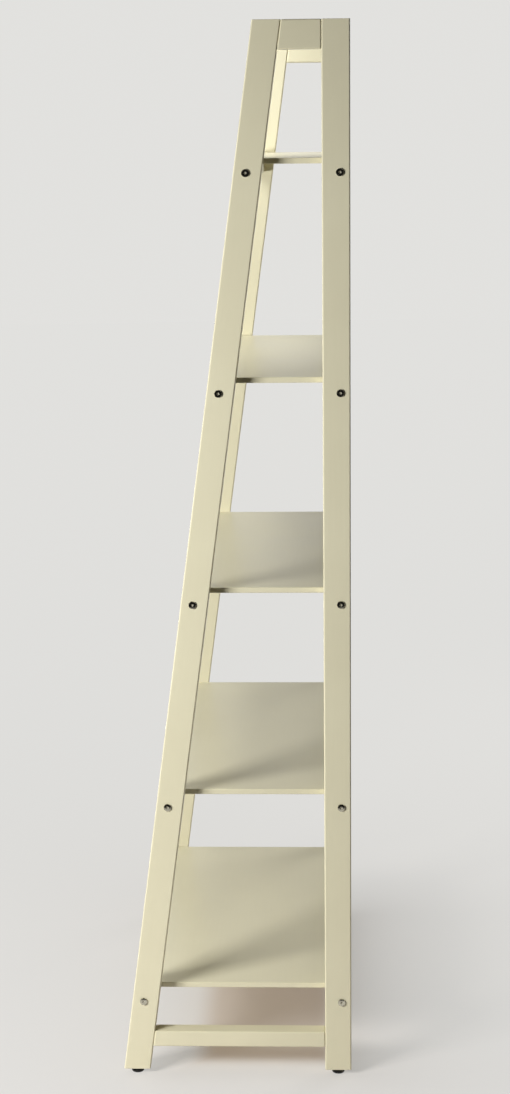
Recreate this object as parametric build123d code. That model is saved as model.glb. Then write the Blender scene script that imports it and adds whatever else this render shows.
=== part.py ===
from build123d import *
import os
from math import asin, cos, hypot, sin, sqrt

# Ladder shelf: two side frames with a leaning front post, and five shelves bolted between them.
# Millimetres. X runs along the shelves, Y from front to rear, Z up from the floor.
# The origin is on the floor, at the middle of the width and of the depth.

# Side frames
height = 1829.0  # floor to the top of the posts
width = 762.0  # over the outer faces of the two side frames
base_depth = 406.5  # over the two posts at their lower ends
top_rail_length = 65.2  # along its upper edge, between the posts
post_width = 46.5  # across a post, square to its length
frame_thickness = 30.0  # of posts and frame rails, along X
top_rail_height = 47.0
bottom_rail_height = 29.0
bottom_rail_top = 82.0  # above the floor
edge_radius = 2.5  # eased edges of the frame members
post_end_radius = 0.8  # edges round the sawn ends of the posts

# Shelves
shelf_count = 5
lowest_shelf_top = 162.5  # upper face of the lowest panel, above the floor
highest_shelf_drop = 219.5  # from the top of the posts down to the upper face of the highest panel
panel_thickness = 9.5
panel_reveal = 3.0  # from the outer faces of the posts back to the edges of the panel
panel_edge_radius = 1.5
shelf_rail_setback = 6.0  # from the edges of the panel back to the shelf rails
shelf_rail_thickness = 16.0
shelf_rail_height = 28.0
shelf_rail_edge_radius = 1.2

# Connector bolts and their barrel nuts
bolt_diameter = 6.0
bolt_length = 65.0  # under the head
bolt_head_diameter = 13.0
bolt_rim_height = 2.0  # straight side of the head
bolt_dome_height = 0.8  # rise of the head from its rim to its middle
bolt_socket_width = 4.0  # across flats
bolt_socket_depth = 1.8
bolt_hole_clearance = 0.4  # radial, in the wood
bolt_end_room = 3.0  # bore left beyond the end of the bolt
bolt_past_nut = 2.0  # bolt that shows beyond the barrel nut
nut_wall = 2.0  # round the thread of the barrel nut
nut_cover = 2.0  # from the faces of the shelf rail in to the ends of the barrel nut
nut_hole_clearance = 0.1  # radial, in the wood
nut_slot_width = 1.5
nut_slot_depth = 1.6
thread_clearance = 0.05  # radial, in every screwed fit

# Dowels of the side frames
dowel_diameter = 8.0
dowel_length = 30.0
dowel_edge_radius = 0.8
dowel_clearance = 0.05  # radial glue gap
dowel_end_room = 1.0  # bore left beyond each end of a dowel

# Screws that hold the panels on the shelf rails
screws_per_rail = 3
screw_from_bolt = 32.0  # from the bore of a bolt to the nearest screw
screw_diameter = 4.0
screw_point_length = 4.0
screw_head_diameter = 8.0
screw_head_height = 2.2
screw_head_depth = 10.0  # from the underside of the shelf rail up to the seat of the head
screw_hole_clearance = 0.3  # radial, in the shelf rail
screw_cover = 2.5  # wood left between the screw's point and the upper face

# Levelling feet: pad, turning stud and threaded insert
pad_diameter = 22.0
pad_floor = 1.8  # material under the stud's button
pad_cover = 1.6  # material over the stud's button
pad_edge_radius = 2.4
pad_top_chamfer = 1.2
button_diameter = 11.0
button_height = 2.0
neck_diameter = 6.0
swivel_clearance = 0.08  # radial and axial, between stud and pad
collar_width = 13.0  # across the flats of the stud's hexagon
collar_height = 2.4
collar_gap = 0.4  # from the collar to the insert when the foot is wound right in
stud_diameter = 8.0
stud_recess = 2.0  # from the stud's upper end down to the insert's upper end
insert_wall = 2.0  # round the thread of the insert
insert_length = 24.0
insert_clearance = 0.05  # radial, in the post
flange_rim = 2.5  # from the insert's body out to the edge of its flange
flange_thickness = 1.2
bore_end_room = 4.0  # bore left above the insert

# Sizes and places worked out from those above
pad_height = pad_floor + button_height + 2 * swivel_clearance + pad_cover
collar_bottom = pad_height + swivel_clearance
collar_top = collar_bottom + collar_height
flange_bottom = collar_top + collar_gap
post_bottom = flange_bottom + flange_thickness
outer_x = width / 2
inner_x = outer_x - frame_thickness
frame_x = outer_x - frame_thickness / 2
rear_face = base_depth / 2
rear_inner = rear_face - post_width

# The front post leans back by lean for each unit of rise, and measured level it is front_post_depth deep.
# Over its rise, lean * rise + front_post_depth is what the rear post and the top rail leave of the depth.
rise = height - post_bottom
depth_left = base_depth - post_width - top_rail_length
lean = depth_left * rise - post_width * sqrt(rise**2 + depth_left**2 - post_width**2)
lean = lean / (rise**2 - post_width**2)
front_post_depth = post_width * hypot(1, lean)

shelf_spacing = (height - highest_shelf_drop - lowest_shelf_top) / (shelf_count - 1)
shelf_tops = [lowest_shelf_top + level * shelf_spacing for level in range(shelf_count)]
bolt_drop = panel_thickness + shelf_rail_height / 2  # from the upper face of a shelf to its bolts
bolt_reach = bolt_length - frame_thickness  # of a bolt into its shelf rail
bolt_bore = bolt_reach + bolt_end_room
nut_diameter = bolt_diameter + 2 * nut_wall
nut_length = shelf_rail_thickness - 2 * nut_cover
nut_x = inner_x - bolt_reach + bolt_past_nut + nut_diameter / 2
screw_length = panel_thickness - screw_cover + shelf_rail_height - screw_head_depth
insert_diameter = stud_diameter + 2 * insert_wall
flange_diameter = insert_diameter + 2 * flange_rim
sides = {"right": 1, "left": -1}
ends = {"front": 1, "rear": -1}  # the way in from that edge of a shelf, along Y

LOW = (Align.CENTER, Align.CENTER, Align.MIN)
HIGH = (Align.CENTER, Align.CENTER, Align.MAX)


def front_face(z):
    """Y of the front face of the leaning posts at height z."""
    return lean * (z - post_bottom) - base_depth / 2


def front_inner(z):
    """Y of the rear face of the leaning posts at height z."""
    return front_face(z) + front_post_depth


def panel_edge(end, top):
    """Y of the front or rear edge of the panel whose upper face is at height top."""
    if end == "front":
        return front_face(top) + panel_reveal
    return rear_face - panel_reveal


def shelf_rail_middle(end, top):
    """Y of the middle plane of a shelf rail, which the bolts and barrel nuts share."""
    return panel_edge(end, top) + ends[end] * (shelf_rail_setback + shelf_rail_thickness / 2)


def foot_middle(end):
    """Y of the axis of a foot, at the middle of the post's lower end."""
    if end == "front":
        return front_face(post_bottom) + front_post_depth / 2
    return rear_face - post_width / 2


def screw_places():
    """X of each panel screw along a shelf rail, spread evenly between the outermost two."""
    reach = inner_x - bolt_bore - screw_from_bolt
    return [reach * (2 * i / (screws_per_rail - 1) - 1) for i in range(screws_per_rail)]


def bore_x(radius, length, x, y, z, way):
    """A cylinder along X that starts at x and runs way, +1 or -1."""
    return Pos(x, y, z) * Rot(0, 90 * way, 0) * Cylinder(radius, length, align=LOW)


def bore_y(radius, length, x, y, z):
    """A cylinder along Y, centred on the place given."""
    return Pos(x, y, z) * Rot(90, 0, 0) * Cylinder(radius, length)


def frame_member(outline, side):
    """A frame member with sharp edges: an outline in the YZ plane, as thick as the frame."""
    start = inner_x if sides[side] > 0 else -outer_x
    face = Plane.YZ.offset(start) * make_face(Polyline(*outline, close=True))
    return extrude(face, amount=frame_thickness)


def frame_rail(low, high, side):
    """A frame rail with eased edges, from the leaning post to the rear post between two heights."""
    outline = [(front_inner(low), low), (rear_inner, low), (rear_inner, high), (front_inner(high), high)]
    rail = frame_member(outline, side)
    return fillet(rail.edges(), edge_radius) - dowel_bores(side)


def dowel_heights():
    """Heights of the dowels of a side frame: two in each end of its two rails."""
    heights = []
    for high, tall in ((height, top_rail_height), (bottom_rail_top, bottom_rail_height)):
        heights += [high - tall / 4, high - 3 * tall / 4]
    return heights


def dowel_places():
    """Y and Z of the middle of each dowel of a side frame, on the faces where rail and post meet."""
    return [(y, z) for z in dowel_heights() for y in (front_inner(z), rear_inner)]


def dowel_bores(side):
    """The holes for the dowels of one side frame."""
    radius = dowel_diameter / 2 + dowel_clearance
    length = dowel_length + 2 * dowel_end_room
    return [bore_y(radius, length, sides[side] * frame_x, y, z) for y, z in dowel_places()]


def bolt_bores(side, end):
    """The holes through a post for its connector bolts."""
    radius = bolt_diameter / 2 + bolt_hole_clearance
    way = sides[side]
    places = [(shelf_rail_middle(end, top), top - bolt_drop) for top in shelf_tops]
    return [bore_x(radius, frame_thickness, way * outer_x, y, z, -way) for y, z in places]


def insert_bore(side, end):
    """The upright hole for a threaded insert in the lower end of a post."""
    radius = insert_diameter / 2 + insert_clearance
    place = Pos(sides[side] * frame_x, foot_middle(end), post_bottom)
    return place * Cylinder(radius, insert_length + bore_end_room, align=LOW)


def post(side, end):
    """A front or rear post with its bolt holes, dowel holes and the bore for the foot's insert."""
    if end == "front":
        outline = [
            (front_face(post_bottom), post_bottom),
            (front_inner(post_bottom), post_bottom),
            (front_inner(height), height),
            (front_face(height), height),
        ]
    else:
        outline = [
            (rear_inner, post_bottom),
            (rear_face, post_bottom),
            (rear_face, height),
            (rear_inner, height),
        ]
    member = frame_member(outline, side)
    long_edges = member.edges().sort_by(SortBy.LENGTH)[-4:]
    member = fillet(long_edges, edge_radius)
    layers = member.faces().sort_by(Axis.Z)
    member = fillet(layers[0].edges() + layers[-1].edges(), post_end_radius)
    cuts = bolt_bores(side, end) + dowel_bores(side) + [insert_bore(side, end)]
    return member - cuts


def top_rail(side):
    """The short rail between the posts, flush with the top of them."""
    return frame_rail(height - top_rail_height, height, side)


def bottom_rail(side):
    """The low rail between the posts."""
    return frame_rail(bottom_rail_top - bottom_rail_height, bottom_rail_top, side)


def frame_dowels(side):
    """The dowels of one side frame, half in the rail and half in the post."""
    dowel = Cylinder(dowel_diameter / 2, dowel_length)
    dowel = fillet(dowel.edges().filter_by(GeomType.CIRCLE), dowel_edge_radius)
    return [Pos(sides[side] * frame_x, y, z) * Rot(90, 0, 0) * dowel for y, z in dowel_places()]


def shelf_panel(top):
    """A shelf panel with eased edges, and blind holes for its screws in the underside."""
    front = panel_edge("front", top)
    depth = panel_edge("rear", top) - front
    place = Pos(0, front + depth / 2, top)
    panel = place * Box(2 * inner_x, depth, panel_thickness, align=HIGH)
    panel = fillet(panel.edges(), panel_edge_radius)
    pilot = Cylinder(screw_diameter / 2 + thread_clearance, panel_thickness - screw_cover, align=LOW)
    under = top - panel_thickness
    holes = [
        Pos(x, shelf_rail_middle(end, top), under) * pilot for end in ends for x in screw_places()
    ]
    return panel - holes


def shelf_rail(end, top):
    """A shelf rail under a panel, bored for its bolts, barrel nuts and panel screws."""
    middle = shelf_rail_middle(end, top)
    upper = top - panel_thickness
    bolt_z = top - bolt_drop
    rail = Pos(0, middle, upper) * Box(2 * inner_x, shelf_rail_thickness, shelf_rail_height, align=HIGH)
    rail = fillet(rail.edges(), shelf_rail_edge_radius)
    nut_bore = shelf_rail_thickness - nut_cover
    nut_middle = middle + ends[end] * nut_cover / 2
    cuts = []
    for way in sides.values():
        bolt_radius = bolt_diameter / 2 + bolt_hole_clearance
        nut_radius = nut_diameter / 2 + nut_hole_clearance
        cuts.append(bore_x(bolt_radius, bolt_bore, way * inner_x, middle, bolt_z, -way))
        cuts.append(bore_y(nut_radius, nut_bore, way * nut_x, nut_middle, bolt_z))
    shank = Cylinder(screw_diameter / 2 + screw_hole_clearance, shelf_rail_height, align=HIGH)
    seat = top - screw_cover - screw_length
    head = Cylinder(screw_head_diameter / 2 + screw_hole_clearance, shelf_rail_height, align=HIGH)
    for x in screw_places():
        cuts.append(Pos(x, middle, upper) * shank)
        cuts.append(Pos(x, middle, seat) * head)
    return rail - cuts


def connector_bolt():
    """A connector bolt along Z with its head upward: low domed head with a hex socket, plain shank."""
    radius = bolt_head_diameter / 2
    head_height = bolt_rim_height + bolt_dome_height
    dome_radius = (radius**2 + bolt_dome_height**2) / (2 * bolt_dome_height)
    half_turn = asin(radius / dome_radius) / 2
    rim = (radius, bolt_rim_height)
    crown = (0, head_height)
    between = (dome_radius * sin(half_turn), head_height - dome_radius * (1 - cos(half_turn)))
    outline = Polyline(crown, (0, 0), (radius, 0), rim) + ThreePointArc(rim, between, crown)
    head = revolve(Plane.XZ * make_face(outline), Axis.Z)
    shank = Cylinder(bolt_diameter / 2, bolt_length, align=HIGH)
    socket = Pos(0, 0, head_height) * RegularPolygon(bolt_socket_width / 2, 6, major_radius=False)
    return head + shank - extrude(socket, amount=-bolt_socket_depth)


def connector_bolts(side, end):
    """The connector bolts of one post, heads on its outer face."""
    way = sides[side]
    bolt = connector_bolt()
    turn = Rot(0, 90 * way, 0)
    return [
        Pos(way * outer_x, shelf_rail_middle(end, top), top - bolt_drop) * turn * bolt for top in shelf_tops
    ]


def barrel_nut(end):
    """A barrel nut along Y with its cross hole along X and a slot in the end that shows."""
    nut = Rot(90, 0, 0) * Cylinder(nut_diameter / 2, nut_length)
    cross = Rot(0, 90, 0) * Cylinder(bolt_diameter / 2 + thread_clearance, nut_diameter)
    slot_y = ends[end] * (nut_length - nut_slot_depth) / 2
    slot = Pos(0, slot_y, 0) * Box(nut_diameter, nut_slot_depth, nut_slot_width)
    return nut - [cross, slot]


def barrel_nuts(side, end):
    """The barrel nuts that the bolts of one post screw into."""
    nut = barrel_nut(end)
    x = sides[side] * nut_x
    return [Pos(x, shelf_rail_middle(end, top), top - bolt_drop) * nut for top in shelf_tops]


def panel_screws(top):
    """The screws that go up through the two rails of a shelf into its panel."""
    tip = top - screw_cover
    straight = screw_length - screw_point_length
    shank = Pos(0, 0, -screw_length) * Cylinder(screw_diameter / 2, straight, align=LOW)
    point = Pos(0, 0, -screw_point_length) * Cone(
        screw_diameter / 2, screw_diameter / 8, screw_point_length, align=LOW
    )
    head = Pos(0, 0, -screw_length) * Cylinder(screw_head_diameter / 2, screw_head_height, align=HIGH)
    screw = shank + point + head
    return [Pos(x, shelf_rail_middle(end, top), tip) * screw for end in ends for x in screw_places()]


def threaded_insert():
    """A flanged insert for the lower end of a post, on the foot's axis with Z from the floor."""
    body = Pos(0, 0, post_bottom) * Cylinder(insert_diameter / 2, insert_length, align=LOW)
    flange = Pos(0, 0, flange_bottom) * Cylinder(flange_diameter / 2, flange_thickness, align=LOW)
    thread = Pos(0, 0, flange_bottom) * Cylinder(
        stud_diameter / 2 + thread_clearance, flange_thickness + insert_length, align=LOW
    )
    return body + flange - thread


def foot_pad():
    """A round foot pad with a rounded rim, a chamfered top and a socket for the stud's button."""
    pad = Cylinder(pad_diameter / 2, pad_height, align=LOW)
    pad = fillet(pad.edges().group_by(Axis.Z)[0], pad_edge_radius)
    pad = chamfer(pad.edges().group_by(Axis.Z)[-1], pad_top_chamfer)
    room = button_height + 2 * swivel_clearance
    button = Pos(0, 0, pad_floor) * Cylinder(button_diameter / 2 + swivel_clearance, room, align=LOW)
    neck = Pos(0, 0, pad_floor) * Cylinder(
        neck_diameter / 2 + swivel_clearance, pad_height - pad_floor, align=LOW
    )
    return pad - [button, neck]


def foot_stud():
    """A foot's stud: button and neck held in the pad, a hexagon for the wrench, a threaded shank."""
    button_bottom = pad_floor + swivel_clearance
    stud_top = post_bottom + insert_length - stud_recess
    button = Pos(0, 0, button_bottom) * Cylinder(button_diameter / 2, button_height, align=LOW)
    neck = Pos(0, 0, button_bottom) * Cylinder(neck_diameter / 2, collar_bottom - button_bottom, align=LOW)
    hexagon = Pos(0, 0, collar_bottom) * RegularPolygon(collar_width / 2, 6, major_radius=False)
    shank = Pos(0, 0, collar_bottom) * Cylinder(stud_diameter / 2, stud_top - collar_bottom, align=LOW)
    return button + neck + extrude(hexagon, amount=collar_height) + shank


def foot_place(side, end):
    """The place of a foot's axis on the floor."""
    return Pos(sides[side] * frame_x, foot_middle(end), 0)


def save(node, solids):
    """Write one node, a solid or a group of separate solids, to its own file."""
    group = solids if isinstance(solids, list) else [solids]
    export_step(Compound([solid for item in group for solid in item.solids()]), f"parts/{node}.step")


os.makedirs("parts", exist_ok=True)

for side in sides:
    save(f"{side}_top_rail", top_rail(side))
    save(f"{side}_bottom_rail", bottom_rail(side))
    save(f"{side}_frame_dowels", frame_dowels(side))
    for end in ends:
        save(f"{side}_{end}_post", post(side, end))
        save(f"{side}_{end}_bolts", connector_bolts(side, end))
        save(f"{side}_{end}_barrel_nuts", barrel_nuts(side, end))
        save(f"{side}_{end}_foot_insert", foot_place(side, end) * threaded_insert())
        save(f"{side}_{end}_foot_pad", foot_place(side, end) * foot_pad())
        save(f"{side}_{end}_foot_stud", foot_place(side, end) * foot_stud())

for level, top in enumerate(shelf_tops, start=1):
    save(f"shelf_{level}_panel", shelf_panel(top))
    save(f"shelf_{level}_screws", panel_screws(top))
    for end in ends:
        save(f"shelf_{level}_{end}_rail", shelf_rail(end, top))
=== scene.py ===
"""Looks of the ladder shelf: painted frame members and panels, connector bolts and levelling feet.

Metres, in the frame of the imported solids: X along the shelves, Y from front to rear, Z up from the floor.
"""

from math import cos, hypot, pi, radians, sin

import bpy
import numpy as np
from mathutils import Matrix, Vector


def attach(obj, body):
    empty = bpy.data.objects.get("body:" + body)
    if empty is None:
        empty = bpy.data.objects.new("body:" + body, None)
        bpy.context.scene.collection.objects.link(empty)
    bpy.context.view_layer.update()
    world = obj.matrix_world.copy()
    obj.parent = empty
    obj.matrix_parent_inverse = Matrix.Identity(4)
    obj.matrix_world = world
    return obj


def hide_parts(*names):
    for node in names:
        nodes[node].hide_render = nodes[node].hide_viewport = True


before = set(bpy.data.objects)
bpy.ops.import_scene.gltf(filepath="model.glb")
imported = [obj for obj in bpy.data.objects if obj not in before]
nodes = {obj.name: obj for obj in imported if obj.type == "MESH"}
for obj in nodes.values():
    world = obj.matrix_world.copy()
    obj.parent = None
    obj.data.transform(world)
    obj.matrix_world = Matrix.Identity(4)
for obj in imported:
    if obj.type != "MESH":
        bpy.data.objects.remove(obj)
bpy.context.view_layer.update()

MM = 0.001
WELD = 1e-6  # points nearer than this become one

# Side frames
height = 1829 * MM
outer_x = 381 * MM
frame_thickness = 30 * MM
post_width = 46.5 * MM
rear_face = 203.25 * MM
post_bottom = 9.64 * MM
lean = 0.13624  # run back of the front posts for each unit of rise
top_rail_height = 47 * MM
bottom_rail_height = 29 * MM
bottom_rail_top = 82 * MM
edge_radius = 2.5 * MM
post_end_radius = 0.8 * MM

# Shelves
shelf_tops = np.linspace(162.5, 1609.5, 5) * MM
panel_thickness = 9.5 * MM
panel_reveal = 3 * MM
panel_edge_radius = 1.5 * MM
bolt_inset = 17 * MM  # from the outer faces of the posts in to the bolts
bolt_drop = 23.5 * MM  # from the upper face of a shelf down to its bolts

# Connector bolts
head_rim_height = 2 * MM
head_dome_height = 0.8 * MM  # that the middle of the head rises above its rim
head_radius = 6.5 * MM
key_width = 4 * MM  # of the hex socket, across flats
key_depth = 1.8 * MM
shank_radius = 3 * MM
shank_length = 65 * MM

# Levelling feet, heights from the floor
pad_height = 5.56 * MM
pad_radius = 11 * MM
socket_floor = 1.8 * MM  # of the hollow in the pad that holds the stud's button
socket_roof = 3.96 * MM
swivel_clearance = 0.08 * MM
button_radius = 5.5 * MM
neck_radius = 3 * MM
collar_bottom = 5.64 * MM
collar_top = 8.04 * MM
collar_width = 13 * MM  # across flats
stud_radius = 4 * MM
stud_top = 31.64 * MM
thread_pitch = 1.25 * MM
flange_bottom = 8.44 * MM
flange_radius = 8.5 * MM
insert_radius = 6 * MM
insert_bore = 4.05 * MM
insert_top = 33.64 * MM

# Worked out from those above
inner_x = outer_x - frame_thickness
frame_x = outer_x - frame_thickness / 2
rear_inner = rear_face - post_width
front_post_depth = post_width * hypot(1, lean)
sides = {"right": 1, "left": -1}
ends = ("front", "rear")


def front_face(z):
    """Y of the front face of the leaning posts at height z."""
    return lean * (z - post_bottom) - rear_face


def front_inner(z):
    """Y of the rear face of the leaning posts at height z."""
    return front_face(z) + front_post_depth


def bolt_y(end, z_top):
    """Y of the bolts of a post at the shelf whose upper face is at z_top."""
    if end == "front":
        return front_face(z_top) + bolt_inset
    return np.full_like(z_top, rear_face - bolt_inset)


def foot_y(end):
    """Y of a foot's axis, at the middle of the post's lower end."""
    if end == "front":
        return front_face(post_bottom) + front_post_depth / 2
    return rear_face - post_width / 2


# Meshes


def grid_quads(rows, columns):
    """Corner numbers of the faces of a grid of rows by columns points, counter-clockwise."""
    number = np.arange(rows * columns).reshape(rows, columns)
    corners = (number[:-1, :-1], number[:-1, 1:], number[1:, 1:], number[1:, :-1])
    return np.stack(corners, axis=-1).reshape(-1, 4)


def lay_mesh(name, points, quads, marks=None, sharp_angle=None):
    """Mesh object of points and four-cornered faces, in place and with the object at the origin.

    Points at one place become one, and a face that this narrows loses a corner or goes. Without a sharp
    angle, a point's normal is the sum of the area vectors of its faces, half the cross product of the
    diagonals each, so flats stay flat and eased edges round. marks gives named numbers for the points.
    """
    keys = np.round(points / WELD).astype(np.int64)
    _, first, again = np.unique(keys, axis=0, return_index=True, return_inverse=True)
    welded = points[first]
    corners = again.reshape(-1)[quads]
    kept = corners != np.roll(corners, -1, axis=1)
    whole = kept.sum(axis=1) > 2
    corners = corners[whole]
    kept = kept[whole]
    loops = corners[kept]
    starts = np.concatenate([[0], np.cumsum(kept.sum(axis=1))[:-1]])

    mesh = bpy.data.meshes.new(name)
    mesh.vertices.add(len(welded))
    mesh.vertices.foreach_set("co", welded.astype(np.float32).ravel())
    mesh.loops.add(len(loops))
    mesh.loops.foreach_set("vertex_index", loops.astype(np.int32))
    mesh.polygons.add(len(corners))
    mesh.polygons.foreach_set("loop_start", starts.astype(np.int32))
    mesh.update(calc_edges=True)
    mesh.validate()
    mesh.shade_smooth()
    for mark, values in (marks or {}).items():
        attribute = mesh.attributes.new(mark, "FLOAT", "POINT")
        attribute.data.foreach_set("value", values[first].astype(np.float32))
    if sharp_angle is None:
        a, b, c, d = np.moveaxis(welded[corners], 1, 0)
        area = np.cross(c - a, d - b) / 2
        normals = np.zeros_like(welded)
        np.add.at(normals, corners.ravel(), np.repeat(area, 4, axis=0))
        normals /= np.linalg.norm(normals, axis=1, keepdims=True)
        mesh.normals_split_custom_set_from_vertices(normals.tolist())
    else:
        mesh.set_sharp_from_angle(angle=sharp_angle)
    piece = bpy.data.objects.new(name, mesh)
    bpy.context.scene.collection.objects.link(piece)
    return piece


def eased_block(half, radius, end_radius=None, steps=6):
    """Points, faces and edge marks of a closed block with rounded edges, centred on the origin.

    A turn round Z gives the outline, a rectangle with rounded corners: a corner of the inner rectangle,
    less by the radius, plus the radius times the direction of the turn. A tilt from the lower end to the
    upper then draws the outline in by the end radius times one less its cosine, and sets the height: the
    inner height plus the end radius times its sine. Each quarter of the turn and each half of the tilt
    keeps its own corner, and a flat face closes each end. The mark is 1 half-way round an eased edge and
    0 on the flats.
    """
    end_radius = end_radius or radius
    quarter = np.linspace(0, pi / 2, steps + 1)
    turn = (quarter + np.arange(4)[:, None] * pi / 2).ravel()
    corner = np.repeat(np.arange(4) * pi / 2 + pi / 4, steps + 1)
    turn = np.append(turn, turn[0])[None, :]
    corner = np.append(corner, corner[0])[None, :]
    tilt = np.concatenate([[-pi / 2], -quarter[::-1], quarter, [pi / 2]])[:, None]
    end = np.repeat([-1.0, 1.0], steps + 2)[:, None]
    reach = radius - end_radius * (1 - np.cos(tilt))
    reach[[0, -1]] = 0
    inner = np.asarray(half) - radius
    x = np.sign(np.cos(corner)) * inner[0] + reach * np.cos(turn)
    y = np.sign(np.sin(corner)) * inner[1] + reach * np.sin(turn)
    z = end * (half[2] - end_radius) + end_radius * np.sin(tilt) + 0 * turn
    mark = np.maximum(np.abs(np.sin(2 * turn)) * reach / radius, np.abs(np.sin(2 * tilt)) + 0 * turn)
    points = np.stack([x, y, z], axis=-1).reshape(-1, 3)
    rows, columns = x.shape
    ring = np.arange(4) * (steps + 1)
    caps = np.stack([ring[::-1], ring + (rows - 1) * columns])
    quads = np.concatenate([grid_quads(rows, columns), caps])
    return points, quads, mark.ravel()


def hexagon_reach(across_flats, turn):
    """Distance from the middle of a hexagon to its side in the direction turn."""
    return across_flats / 2 / np.cos((turn + pi / 6) % (pi / 3) - pi / 6)


def turned(reach, rise, turn):
    """Points and faces of a surface carried round Z: reach is the distance from Z and rise the height, each
    an array of rows by turns. The first and last rows lie on Z or meet, so the surface is closed."""
    reach, rise, turn = np.broadcast_arrays(reach, rise, turn)
    points = np.stack([reach * np.cos(turn), reach * np.sin(turn), rise], axis=-1)
    return points.reshape(-1, 3), grid_quads(*reach.shape)


def full_turn(count):
    """Angles of a full turn, the last the same place as the first."""
    return np.linspace(0, 2 * pi, count + 1)[None, :]


# Materials


def shader(name):
    """A new material with its shader node, and a function that adds a node with its settings and inputs."""
    material = bpy.data.materials.new(name)
    material.use_nodes = True
    tree = material.node_tree
    surface = tree.nodes["Principled BSDF"]

    def add(kind, settings=None, **inputs):
        node = tree.nodes.new(kind)
        for key, value in (settings or {}).items():
            setattr(node, key, value)
        for key, value in inputs.items():
            socket = node.inputs[key.replace("_", " ")]
            if isinstance(value, bpy.types.NodeSocket):
                tree.links.new(value, socket)
            else:
                socket.default_value = value
        return node

    return material, tree, surface, add


def ramp(add, tree, factor, stops):
    """A colour ramp over factor with the given (place, colour) stops."""
    node = add("ShaderNodeValToRGB", Fac=factor)
    for number, (place, colour) in enumerate(stops):
        element = node.color_ramp.elements[number] if number < 2 else node.color_ramp.elements.new(place)
        element.position = place
        element.color = (*colour, 1)
    return node.outputs["Color"]


def node_steps(tree):
    """Functions that add a vector step, a number step or a smooth fade, with its inputs joined or set."""

    def fill_in(node, values):
        for number, value in enumerate(values):
            if isinstance(value, bpy.types.NodeSocket):
                tree.links.new(value, node.inputs[number])
            else:
                node.inputs[number].default_value = value
        return node

    def vector_step(operation, *values):
        node = tree.nodes.new("ShaderNodeVectorMath")
        node.operation = operation
        return fill_in(node, values).outputs["Value" if operation == "LENGTH" else "Vector"]

    def step(operation, *values):
        node = tree.nodes.new("ShaderNodeMath")
        node.operation = operation
        return fill_in(node, values).outputs["Value"]

    def fade(value, low, high, at_low, at_high):
        node = tree.nodes.new("ShaderNodeMapRange")
        node.interpolation_type = "SMOOTHSTEP"
        return fill_in(node, (value, low, high, at_low, at_high)).outputs["Result"]

    return vector_step, step, fade


def noise(add, place, scale, detail, roughness):
    """Noise at a place, from 0 to 1 about a half."""
    node = add("ShaderNodeTexNoise", Vector=place, Scale=scale, Detail=detail, Roughness=roughness)
    return node.outputs["Fac"]


def spread_over(add, factor, low, high):
    """A number that goes from low to high as factor goes from 0 to 1."""
    return add("ShaderNodeMapRange", Value=factor, To_Min=low, To_Max=high).outputs["Result"]


# Linear colours of the lacquer film and of the dowels' wood
cream_deep = (0.685, 0.642, 0.458)
cream = (0.72, 0.677, 0.487)
cream_light = (0.75, 0.708, 0.515)
cream_edge = (0.735, 0.687, 0.48)
beech_fleck = (0.36, 0.2, 0.09)
beech = (0.6, 0.39, 0.21)


def lacquer(name, along, tilt=0.0):
    """Satin cream lacquer on wood: faint streaks along the grain and soft clouds in its colour, an
    orange-peel skin with the grain just showing through, and a thinner, warmer film on the eased edges."""
    material, tree, surface, add = shader(name)
    _, step, _ = node_steps(tree)
    grain_stretch = 0.045
    grain_share = 0.3
    place = add("ShaderNodeTexCoord").outputs["Object"]
    stretch = [1.0, 1.0, 1.0]
    stretch["xyz".index(along)] = grain_stretch
    level = add("ShaderNodeMapping", {"vector_type": "POINT"}, Vector=place, Rotation=(tilt, 0, 0))
    grain_place = add("ShaderNodeMapping", Vector=level.outputs["Vector"], Scale=stretch)
    grain = noise(add, grain_place.outputs["Vector"], scale=210.0, detail=4.0, roughness=0.62)
    cloud = noise(add, place, scale=5.5, detail=3.0, roughness=0.5)
    peel = noise(add, place, scale=430.0, detail=2.0, roughness=0.5)
    edge = add("ShaderNodeAttribute", {"attribute_name": "eased_edge"}).outputs["Fac"]

    tone = step("MULTIPLY_ADD", grain, grain_share, cloud)
    film = ramp(add, tree, tone, [(0.2, cream_deep), (0.65, cream), (1.0, cream_light)])
    thinned = step("MULTIPLY", edge, cloud)
    colour = add("ShaderNodeMix", {"data_type": "RGBA"}, Factor=thinned, A=film, B=(*cream_edge, 1))
    tree.links.new(colour.outputs["Result"], surface.inputs["Base Color"])
    tree.links.new(spread_over(add, cloud, 0.24, 0.4), surface.inputs["Roughness"])

    skin = add("ShaderNodeBump", Height=peel, Strength=0.12, Distance=0.0004).outputs["Normal"]
    relief = add("ShaderNodeBump", Height=grain, Normal=skin, Strength=0.06, Distance=0.0006)
    tree.links.new(relief.outputs["Normal"], surface.inputs["Normal"])
    return material


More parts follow.
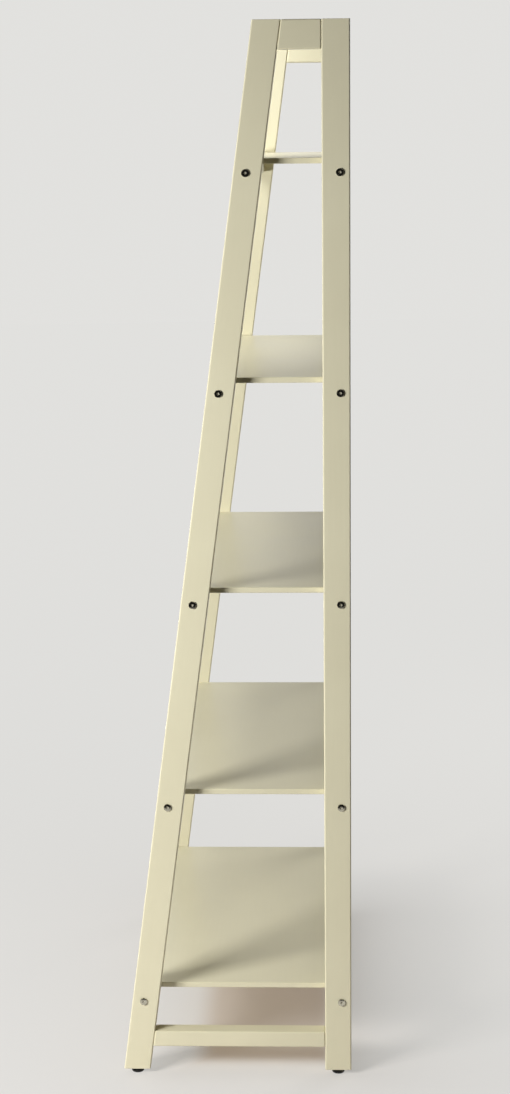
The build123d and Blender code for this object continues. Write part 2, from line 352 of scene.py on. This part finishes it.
def plated_metal(name, dark, light, rough, turned_head=False):
    """Plated steel: small changes of tone and gloss. A turned head has fine rings, and a socket that is
    rougher and less metallic."""
    material, tree, surface, add = shader(name)
    _, step, _ = node_steps(tree)
    speck = noise(add, add("ShaderNodeTexCoord").outputs["Object"], scale=900.0, detail=3.0, roughness=0.6)
    tone = ramp(add, tree, speck, [(0.35, dark), (0.7, light)])
    tree.links.new(tone, surface.inputs["Base Color"])
    surface.inputs["Metallic"].default_value = 1.0
    roughness = spread_over(add, speck, rough - 0.06, rough + 0.08)
    height_source = speck
    if turned_head:
        socket_roughness = 0.4
        socket_metal_loss = 0.7
        socket = add("ShaderNodeAttribute", {"attribute_name": "socket"}).outputs["Fac"]
        ring = add("ShaderNodeAttribute", {"attribute_name": "turning_ring"}).outputs["Fac"]
        roughness = step("MULTIPLY_ADD", socket, socket_roughness, roughness)
        tree.links.new(step("MULTIPLY_ADD", socket, -socket_metal_loss, 1.0), surface.inputs["Metallic"])
        height_source = step("SINE", ring)
    tree.links.new(roughness, surface.inputs["Roughness"])
    relief = add("ShaderNodeBump", Height=height_source, Strength=0.1, Distance=0.00005)
    tree.links.new(relief.outputs["Normal"], surface.inputs["Normal"])
    return material


def moulded_plastic(name, dark, light):
    """Black moulded plastic with a fine, slightly uneven matt skin."""
    material, tree, surface, add = shader(name)
    skin = noise(add, add("ShaderNodeTexCoord").outputs["Object"], scale=1500.0, detail=2.0, roughness=0.5)
    tone = ramp(add, tree, skin, [(0.3, dark), (0.75, light)])
    tree.links.new(tone, surface.inputs["Base Color"])
    tree.links.new(spread_over(add, skin, 0.38, 0.55), surface.inputs["Roughness"])
    relief = add("ShaderNodeBump", Height=skin, Strength=0.2, Distance=0.0001)
    tree.links.new(relief.outputs["Normal"], surface.inputs["Normal"])
    return material


def bare_beech(name):
    """Unpainted beech for the dowels: pale, with short darker flecks along the grain."""
    material, tree, surface, add = shader(name)
    place = add("ShaderNodeTexCoord").outputs["Object"]
    stretched = add("ShaderNodeMapping", Vector=place, Scale=(1, 0.08, 1))
    fleck = noise(add, stretched.outputs["Vector"], scale=700.0, detail=4.0, roughness=0.6)
    tone = ramp(add, tree, fleck, [(0.3, beech_fleck), (0.65, beech)])
    tree.links.new(tone, surface.inputs["Base Color"])
    tree.links.new(spread_over(add, fleck, 0.5, 0.75), surface.inputs["Roughness"])
    return material


front_post_lacquer = lacquer("cream_lacquer_front_post", "z", tilt=np.arctan(lean))
rear_post_lacquer = lacquer("cream_lacquer_rear_post", "z")
frame_rail_lacquer = lacquer("cream_lacquer_frame_rail", "y")
shelf_lacquer = lacquer("cream_lacquer_shelf", "x")
bolt_nickel = plated_metal("polished_nickel_bolt", (0.57, 0.54, 0.44), (0.67, 0.64, 0.53), 0.14, True)
zinc_steel = plated_metal("zinc_plated_steel", (0.5, 0.5, 0.49), (0.62, 0.62, 0.6), 0.34)
foot_plastic = moulded_plastic("black_foot_plastic", (0.004, 0.004, 0.004), (0.008, 0.008, 0.008))
dowel_beech = bare_beech("bare_beech_dowel")


def dress(piece, material, slot, body, *replaced):
    """Give a finished piece its material and body, and hide the solids that it stands for. The slot argument
    is not used.
    """
    piece.data.materials.append(material)
    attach(piece, body)
    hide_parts(*replaced)


# Painted wood


def front_post(side):
    """An eased block as long as the post rises. Its points move back by the lean for each unit of height."""
    rise = height - post_bottom
    half = (frame_thickness / 2, front_post_depth / 2, rise / 2)
    points, quads, mark = eased_block(half, edge_radius, post_end_radius)
    points[:, 1] += lean * points[:, 2]
    middle = post_bottom + rise / 2
    points += (sides[side] * frame_x, front_face(middle) + front_post_depth / 2, middle)
    node = f"{side}_front_post"
    piece = lay_mesh(f"{node}_painted", points, quads, {"eased_edge": mark})
    dress(piece, front_post_lacquer, "painted_wood", "shelf_unit", node)


def rear_post(side):
    """An upright eased block."""
    rise = height - post_bottom
    half = (frame_thickness / 2, post_width / 2, rise / 2)
    points, quads, mark = eased_block(half, edge_radius, post_end_radius)
    points += (sides[side] * frame_x, rear_face - post_width / 2, post_bottom + rise / 2)
    node = f"{side}_rear_post"
    piece = lay_mesh(f"{node}_painted", points, quads, {"eased_edge": mark})
    dress(piece, rear_post_lacquer, "painted_wood", "shelf_unit", node)


def frame_rail(side, node_end, low, high):
    """An eased block between the posts, whose front end leans with the front post: a point moves back by
    the lean times its height, in full at the front end and not at all at the rear end."""
    middle = (low + high) / 2
    front = front_inner(middle)
    length = rear_inner - front
    points, quads, mark = eased_block((frame_thickness / 2, length / 2, (high - low) / 2), edge_radius)
    share = 0.5 - points[:, 1] / length
    points[:, 1] += lean * points[:, 2] * share
    points += (sides[side] * frame_x, front + length / 2, middle)
    node = f"{side}_{node_end}"
    piece = lay_mesh(f"{node}_painted", points, quads, {"eased_edge": mark})
    dress(piece, frame_rail_lacquer, "painted_wood", "shelf_unit", node)


def shelf_panel(level, top):
    """A thin eased block from side frame to side frame."""
    front = front_face(top) + panel_reveal
    rear = rear_face - panel_reveal
    points, quads, mark = eased_block((inner_x, (rear - front) / 2, panel_thickness / 2), panel_edge_radius)
    points += (0, (front + rear) / 2, top - panel_thickness / 2)
    node = f"shelf_{level}_panel"
    piece = lay_mesh(f"{node}_painted", points, quads, {"eased_edge": mark})
    dress(piece, shelf_lacquer, "painted_wood", "shelf_unit", node)


for side in sides:
    front_post(side)
    rear_post(side)
    frame_rail(side, "top_rail", height - top_rail_height, height)
    frame_rail(side, "bottom_rail", bottom_rail_top - bottom_rail_height, bottom_rail_top)
for level, top in enumerate(shelf_tops, start=1):
    shelf_panel(level, top)


# Connector bolts


def connector_bolt():
    """A bolt along Z, head upward. Rows of the surface run from the floor of the hex socket up its wall,
    over the small chamfer and the dome, round the rim, under the head and down the shank to its tip. A row
    keeps the hexagon's reach inside the socket and a circle's outside it; heights on the head follow the
    dome, the crown less the square of the reach times a fixed share."""
    turn = full_turn(48)
    crown = head_rim_height + head_dome_height
    floor = crown - key_depth
    hexagon = hexagon_reach(key_width, turn)

    def dome(reach):
        return crown - head_dome_height * (reach / head_radius) ** 2

    drill_point = 0.35 * MM
    corner_ease = 0.1 * MM
    chamfer = 0.2 * MM
    socket_rows = [
        (0 * hexagon, floor - drill_point + 0 * hexagon),
        (0.96 * hexagon, floor + 0 * hexagon),
        (hexagon, floor + corner_ease + 0 * hexagon),
        (hexagon, dome(hexagon) - chamfer),
        (hexagon + 0.5 * chamfer, dome(hexagon) - 0.3 * chamfer),
        (hexagon + chamfer, dome(hexagon + chamfer)),
    ]
    dome_start = 2.75 * MM
    rim_radius = 0.45 * MM
    rim_drop = 0.1 * MM
    dome_reach = np.linspace(dome_start, head_radius - 0.8 * rim_radius, 9)
    bend = np.linspace(0.25, 1, 5) * pi / 2
    rim_reach = head_radius - rim_radius * (1 - np.sin(bend))
    rim_rise = head_rim_height - rim_drop + rim_radius * np.cos(bend) * 0.6
    under_ease = 0.15 * MM
    tip_chamfer = 0.6 * MM
    tip_radius = 0.8 * shank_radius
    lower_reach = [head_radius, head_radius - under_ease, shank_radius, shank_radius, tip_radius, 0]
    lower_rise = [under_ease, 0, 0, tip_chamfer - shank_length, -shank_length, -shank_length]
    plain_reach = np.concatenate([dome_reach, rim_reach, lower_reach])[:, None]
    plain_rise = np.concatenate([dome(dome_reach), rim_rise, lower_rise])[:, None]
    reach = np.concatenate([np.concatenate([row[0] for row in socket_rows]), plain_reach + 0 * turn])
    rise = np.concatenate([np.concatenate([row[1] for row in socket_rows]), plain_rise + 0 * turn])
    inside = np.zeros_like(reach)
    inside[:4] = 1
    points, quads = turned(reach[::-1], rise[::-1], turn)
    return points, quads, reach[::-1].ravel(), inside[::-1].ravel()


def post_bolts(side, end):
    """The five bolts of one post, each turned as far as it happened to tighten, heads on the outer face."""
    points, quads, reach, inside = connector_bolt()
    way = sides[side]
    first_stop = 0.7 if end == "front" else 1.9
    stop_step = 2.4
    ring_width = 0.12 * MM
    stop = stop_step * np.arange(len(shelf_tops)) + first_stop
    across = points[None, :, 0] * np.cos(stop)[:, None] - points[None, :, 1] * np.sin(stop)[:, None]
    upward = points[None, :, 0] * np.sin(stop)[:, None] + points[None, :, 1] * np.cos(stop)[:, None]
    x = way * (outer_x + points[None, :, 2]) + 0 * across
    y = bolt_y(end, shelf_tops)[:, None] + way * across
    z = (shelf_tops - bolt_drop)[:, None] + upward
    placed = np.stack([x, y, z], axis=-1).reshape(-1, 3)
    shifts = (np.arange(len(stop)) * len(points))[:, None, None]
    faces = (quads[None, :, :] + shifts).reshape(-1, 4)
    marks = {"turning_ring": np.tile(reach / ring_width, len(stop)), "socket": np.tile(inside, len(stop))}
    node = f"{side}_{end}_bolts"
    piece = lay_mesh(f"{node}_nickel", placed, faces, marks, sharp_angle=radians(40))
    dress(piece, bolt_nickel, "bolt_metal", "shelf_unit", node)


for side in sides:
    for end in ends:
        post_bolts(side, end)


# Levelling feet


def foot_pad():
    """The pad's outline turned round Z: flat sole, rounded rim, short wall, eased chamfer, then down the
    neck hole and round the hollow that holds the stud's button."""
    rim = 2.4 * MM
    bend = np.linspace(0, pi / 2, 8)
    sole_reach = pad_radius - rim + rim * np.sin(bend)
    sole_rise = rim * (1 - np.cos(bend))
    neck = neck_radius + swivel_clearance
    hollow = button_radius + swivel_clearance
    chamfer_in = np.array([0, 0.15, 1.1, 1.4]) * MM
    chamfer_down = np.array([1.3, 1.06, 0.1, 0]) * MM
    mouth_out = 0.22 * MM
    mouth_down = 0.16 * MM
    hole_reach = [neck + mouth_out, neck, neck, hollow, hollow, 0]
    hole_rise = [pad_height, pad_height - mouth_down, socket_roof, socket_roof, socket_floor, socket_floor]
    reach = np.concatenate([[0], sole_reach, pad_radius - chamfer_in, hole_reach])[:, None]
    rise = np.concatenate([[0], sole_rise, pad_height - chamfer_down, hole_rise])[:, None]
    return turned(reach, rise, full_turn(64))


def foot_stud():
    """The stud's outline turned round Z: button, neck, hexagon with chamfered corners, and the shank, whose
    reach falls from crest to root and back once for each pitch of height and each turn."""
    turn = full_turn(48)
    hexagon = hexagon_reach(collar_width, turn)
    corner_reach = 7 * MM
    corner_chamfer = 0.56 * MM
    ease = 0.3 * MM
    thread_depth = 0.68 * MM
    tip_chamfer = 0.9 * MM
    rows_per_pitch = 8
    run_in_turns = 0.8
    button_bottom = socket_floor + swivel_clearance
    button_top = socket_roof - swivel_clearance
    button_reach = [0, button_radius - ease, button_radius, button_radius, button_radius - ease]
    button_rise = [button_bottom, button_bottom, button_bottom + ease, button_top - ease, button_top]
    plain_reach = np.array([*button_reach, neck_radius, neck_radius])[:, None]
    plain_rise = np.array([*button_rise, button_top, collar_bottom])[:, None]
    hex_rows = [
        (np.minimum(hexagon, collar_width / 2), collar_bottom),
        (np.minimum(hexagon, corner_reach), collar_bottom + ease),
        (hexagon, collar_bottom + corner_chamfer),
        (hexagon, collar_top - corner_chamfer),
        (np.minimum(hexagon, corner_reach), collar_top - ease),
        (np.minimum(hexagon, collar_width / 2), collar_top),
    ]
    rows = 1 + int((stud_top - collar_top) / thread_pitch * rows_per_pitch)
    climb = np.linspace(collar_top, stud_top, rows)[:, None]
    phase = (climb / thread_pitch - turn / (2 * pi)) % 1
    run_in = np.clip((climb - collar_top) / (run_in_turns * thread_pitch), 0, 1)
    thread = stud_radius - thread_depth * run_in * (1 - np.abs(2 * phase - 1))
    thread = np.minimum(thread, stud_radius - np.clip(climb - stud_top + tip_chamfer, 0, None))
    reach = [plain_reach + 0 * turn] + [row[0] for row in hex_rows] + [thread, 0 * turn]
    rise = [plain_rise + 0 * turn] + [row[1] + 0 * turn for row in hex_rows]
    rise += [climb + 0 * turn, stud_top + 0 * turn]
    return turned(np.concatenate(reach), np.concatenate(rise), turn)


def foot_insert():
    """The insert's closed outline turned round Z: bore, flange with a rounded rim, and the body in the
    post."""
    mouth_chamfer = 0.2 * MM
    rim_radius = 0.4 * MM
    bend_in, bend_up = 0.1 * MM, 0.12 * MM
    end_chamfer = 0.3 * MM
    outline = np.array([
        (insert_bore, flange_bottom + mouth_chamfer),
        (insert_bore + mouth_chamfer, flange_bottom),
        (flange_radius - rim_radius, flange_bottom),
        (flange_radius - bend_in, flange_bottom + bend_up),
        (flange_radius, flange_bottom + rim_radius),
        (flange_radius, post_bottom),
        (insert_radius, post_bottom),
        (insert_radius, insert_top - end_chamfer),
        (insert_radius - end_chamfer, insert_top),
        (insert_bore, insert_top),
        (insert_bore, flange_bottom + mouth_chamfer),
    ])
    return turned(outline[:, :1], outline[:, 1:], full_turn(64))


def levelling_foot(side, end):
    """One foot on its axis: the pad on the floor, the stud in it, and the insert in the post."""
    axis = np.array([sides[side] * frame_x, foot_y(end), 0])
    stem = f"{side}_{end}"
    points, quads = foot_pad()
    pad = lay_mesh(f"{stem}_foot_pad_moulded", points + axis, quads, sharp_angle=radians(32))
    dress(pad, foot_plastic, "foot_plastic", f"{stem}_foot", f"{stem}_foot_pad")
    points, quads = foot_stud()
    stud = lay_mesh(f"{stem}_foot_stud_threaded", points + axis, quads, sharp_angle=radians(35))
    dress(stud, zinc_steel, "zinc_steel", f"{stem}_stud", f"{stem}_foot_stud")
    points, quads = foot_insert()
    insert = lay_mesh(f"{stem}_foot_insert_turned", points + axis, quads, sharp_angle=radians(35))
    dress(insert, zinc_steel, "zinc_steel", "shelf_unit", f"{stem}_foot_insert")


for side in sides:
    for end in ends:
        levelling_foot(side, end)


# Solids that keep their own shape


def paint_solid(node, material):
    """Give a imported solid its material."""
    mesh = nodes[node].data
    mesh.materials.clear()
    mesh.materials.append(material)


for side in sides:
    paint_solid(f"{side}_frame_dowels", dowel_beech)
    for end in ends:
        paint_solid(f"{side}_{end}_barrel_nuts", zinc_steel)
for level in range(1, len(shelf_tops) + 1):
    paint_solid(f"shelf_{level}_screws", zinc_steel)
    for end in ends:
        paint_solid(f"shelf_{level}_{end}_rail", shelf_lacquer)


# Stage

backdrop = (0.76, 0.755, 0.735)
# painted shadow: the warm brown shade that the floor's glow shows under the shelf
painted_warm_shadow = (0.47, 0.37, 0.285)
floor_colour = (0.74, 0.69, 0.64)
dark_end = 0.02  # share of the backdrop that a reflection finds behind the camera


def floor_disc():
    """A flat disc of rings about Z whose reach falls in equal steps, closed at the middle.

    What the camera sees of it turns from lit floor to backdrop with the distance outside a rectangle
    under the shelf, the length of the positive parts of |X| and |Y| less half its sides: the lit share is
    its most over one plus the distance in units of the fade length. Inside the rectangle the backdrop
    turns to a painted warm shadow with the distance from the nearest side, shade painted into the glow
    under the shelf. The floor passes light on to the shelf only near it, less and less from the near
    distance of the bounce to the far one. A reflection finds the floor darker far out in front of the
    near side frame, and from below the floor is clear.
    """
    floor_reach = 14
    rings = 28
    reach = np.linspace(floor_reach, 0, rings + 1)[:, None]
    points, quads = turned(reach, 0 * reach, full_turn(72))
    disc = lay_mesh("studio_floor", points, quads)
    material, tree, surface, add = shader("pale_floor")
    vector_step, step, fade = node_steps(tree)
    surface.inputs["Roughness"].default_value = 0.6
    surface.inputs["Specular IOR Level"].default_value = 0.2

    under_middle, under_half = (0, 0.05, 0), (0.36, 0.15, 0)
    most_lit, fade_length, painted_shadow_depth = 0.55, 0.17, 0.06
    bounce_near, bounce_far = 0.35, 1.3
    darkens_from, darkens_to = 0.7, 2.2
    place = add("ShaderNodeTexCoord").outputs["Object"]
    aside = vector_step("ABSOLUTE", vector_step("SUBTRACT", place, under_middle))
    outside = vector_step("SUBTRACT", aside, under_half)
    distance = vector_step("LENGTH", vector_step("MAXIMUM", outside, (0, 0, 0)))
    lit = step("DIVIDE", most_lit, step("MULTIPLY_ADD", distance, 1 / fade_length, 1.0))
    ray = add("ShaderNodeLightPath")
    camera_ray = ray.outputs["Is Camera Ray"]
    seen = step("MAXIMUM", camera_ray, ray.outputs["Is Glossy Ray"])
    share = step("MULTIPLY", seen, step("SUBTRACT", 1.0, lit))
    bounce = step("MAXIMUM", camera_ray, fade(distance, bounce_near, bounce_far, 1.0, 0.0))
    tree.links.new(vector_step("MULTIPLY", floor_colour, bounce), surface.inputs["Base Color"])
    past = add("ShaderNodeSeparateXYZ", Vector=outside)
    nearest = step("MAXIMUM", past.outputs["X"], past.outputs["Y"])
    # the glow's colour turns from backdrop to a painted warm shadow inside the rectangle under the shelf
    painted_shadow_tint = ramp(add, tree, fade(nearest, -painted_shadow_depth, 0.0, 1.0, 0.0), [(0.0, backdrop), (1.0, painted_warm_shadow)])
    along = add("ShaderNodeSeparateXYZ", Vector=place).outputs["X"]
    strength = step("MAXIMUM", camera_ray, fade(along, darkens_from, darkens_to, 1.0, dark_end))
    glow = add("ShaderNodeEmission", Color=painted_shadow_tint, Strength=strength)
    mix = add("ShaderNodeMixShader", Fac=share)
    tree.links.new(surface.outputs["BSDF"], mix.inputs[1])
    tree.links.new(glow.outputs["Emission"], mix.inputs[2])
    below = add("ShaderNodeMixShader", Fac=add("ShaderNodeNewGeometry").outputs["Backfacing"])
    tree.links.new(mix.outputs["Shader"], below.inputs[1])
    tree.links.new(add("ShaderNodeBsdfTransparent").outputs["BSDF"], below.inputs[2])
    tree.links.new(below.outputs["Shader"], tree.nodes["Material Output"].inputs["Surface"])
    disc.data.materials.append(material)


def studio_world():
    """Pale backdrop where the camera looks at it, and where a reflection does, darker towards +X. For
    everything else, a dim light whose strength falls smoothly with the X of the direction that it comes
    from, so it fills mostly the far side."""
    fill_colour = (1, 0.97, 0.93)
    fill_far, fill_near = 0.16, 0.01
    world = bpy.data.worlds.new("studio")
    bpy.context.scene.world = world
    world.use_nodes = True
    tree = world.node_tree
    _, step, fade = node_steps(tree)
    way = tree.nodes.new("ShaderNodeTexCoord")
    axes = tree.nodes.new("ShaderNodeSeparateXYZ")
    tree.links.new(way.outputs["Generated"], axes.inputs["Vector"])
    ray = tree.nodes.new("ShaderNodeLightPath")
    camera_ray = ray.outputs["Is Camera Ray"]
    reflected = step("MAXIMUM", ray.outputs["Is Glossy Ray"], ray.outputs["Is Transmission Ray"])

    fill = tree.nodes["Background"]
    fill.inputs["Color"].default_value = (*fill_colour, 1)
    tree.links.new(fade(axes.outputs["X"], -0.8, 0.3, fill_far, fill_near), fill.inputs["Strength"])
    pale = tree.nodes.new("ShaderNodeBackground")
    pale.inputs["Color"].default_value = (*backdrop, 1)
    mirrored = fade(axes.outputs["X"], -0.3, 0.4, 1.0, dark_end)
    tree.links.new(step("MAXIMUM", camera_ray, mirrored), pale.inputs["Strength"])
    mix = tree.nodes.new("ShaderNodeMixShader")
    tree.links.new(step("MAXIMUM", camera_ray, reflected), mix.inputs["Fac"])
    tree.links.new(fill.outputs["Background"], mix.inputs[1])
    tree.links.new(pale.outputs["Background"], mix.inputs[2])
    tree.links.new(mix.outputs["Shader"], tree.nodes["World Output"].inputs["Surface"])


def soft_lamp(name, place, target, size, power, spread=pi):
    """A rectangular soft lamp at a place, facing a target, and out of sight in the gloss of the lacquer."""
    lamp = bpy.data.lights.new(name, "AREA")
    lamp.shape = "RECTANGLE"
    lamp.size, lamp.size_y = size
    lamp.energy = power
    lamp.spread = spread
    holder = bpy.data.objects.new(name, lamp)
    holder.location = place
    holder.rotation_euler = (Vector(target) - Vector(place)).to_track_quat("-Z", "Y").to_euler()
    holder.visible_camera = False
    holder.visible_glossy = False
    bpy.context.scene.collection.objects.link(holder)


def photo_camera():
    """The camera of the photograph: it looks along -X, turned by yaw, tipped down by pitch and rolled."""
    place = (3.76458, 0.17175, 1.66217)
    yaw, pitch, roll = 0.03854, 0.20354, -0.01089
    focal_pixels, image_height = 2042.63, 1094
    forward = np.array([-cos(yaw), -sin(yaw), 0])
    right = np.array([-sin(yaw), cos(yaw), 0])
    up = np.array([0, 0, 1.0])
    forward, up = forward * cos(pitch) - up * sin(pitch), up * cos(pitch) + forward * sin(pitch)
    right, up = right * cos(roll) + up * sin(roll), up * cos(roll) - right * sin(roll)
    lens = bpy.data.cameras.new("photo_camera")
    lens.sensor_fit = "VERTICAL"
    lens.sensor_height = 36
    lens.lens = focal_pixels * lens.sensor_height / image_height
    lens.clip_end = 100
    camera = bpy.data.objects.new("photo_camera", lens)
    turn = np.eye(4)
    turn[:3, :3] = np.stack([right, up, -forward], axis=1)
    turn[:3, 3] = place
    camera.matrix_world = Matrix(turn.tolist())
    bpy.context.scene.collection.objects.link(camera)
    bpy.context.scene.camera = camera


floor_disc()
studio_world()
soft_lamp("key_lamp", place=(1.77, -1.68, 1.28), target=(0.35, 0, 0.42), size=(0.9, 0.5), power=75)
soft_lamp("front_lamp", place=(0, -1.5, 2.7), target=(0, 0, 0.9), size=(1.0, 1.0), power=6.5)
soft_lamp("top_lamp", place=(-0.05, -0.3, 2.15), target=(-0.25, 0.1, 1.4), size=(0.4, 0.4), power=2.3,
          spread=radians(100))
soft_lamp("rear_lamp", place=(-1.9, 1.9, 0.9), target=(0, 0, 0.9), size=(1.4, 1.2), power=35)
photo_camera()
bpy.context.scene.view_settings.view_transform = "Standard"
